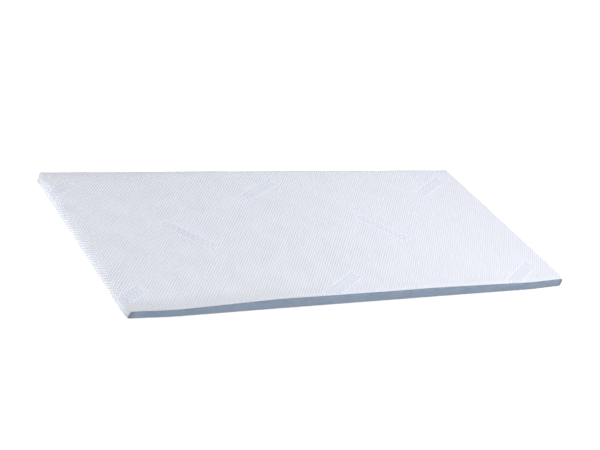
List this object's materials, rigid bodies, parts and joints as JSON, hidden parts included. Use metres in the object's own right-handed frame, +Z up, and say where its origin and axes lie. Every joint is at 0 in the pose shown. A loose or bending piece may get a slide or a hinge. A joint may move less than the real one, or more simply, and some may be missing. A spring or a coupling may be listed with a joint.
{
  "type": "roll-up foam mattress",
  "caption": "Thin foam mattress in a pale knitted cover with a blue border strip along each long side, opened out and lying flat.",
  "frame": {"origin": "middle of the underside, on the surface that the mattress lies on", "axes": "+X along the length, +Y across the width to the back long side, +Z up"},
  "size_m": [2, 0.9, 0.0515],
  "materials": {
    "cover_knit": "near-white double knit with a small raised diamond pattern, matt",
    "border_cloth": "blue-grey woven cloth, matt"
  },
  "bodies": {
    "root": {"filled_cover": "cover_knit", "border_front": "border_cloth", "border_back": "border_cloth"}
  },
  "joints": []
}
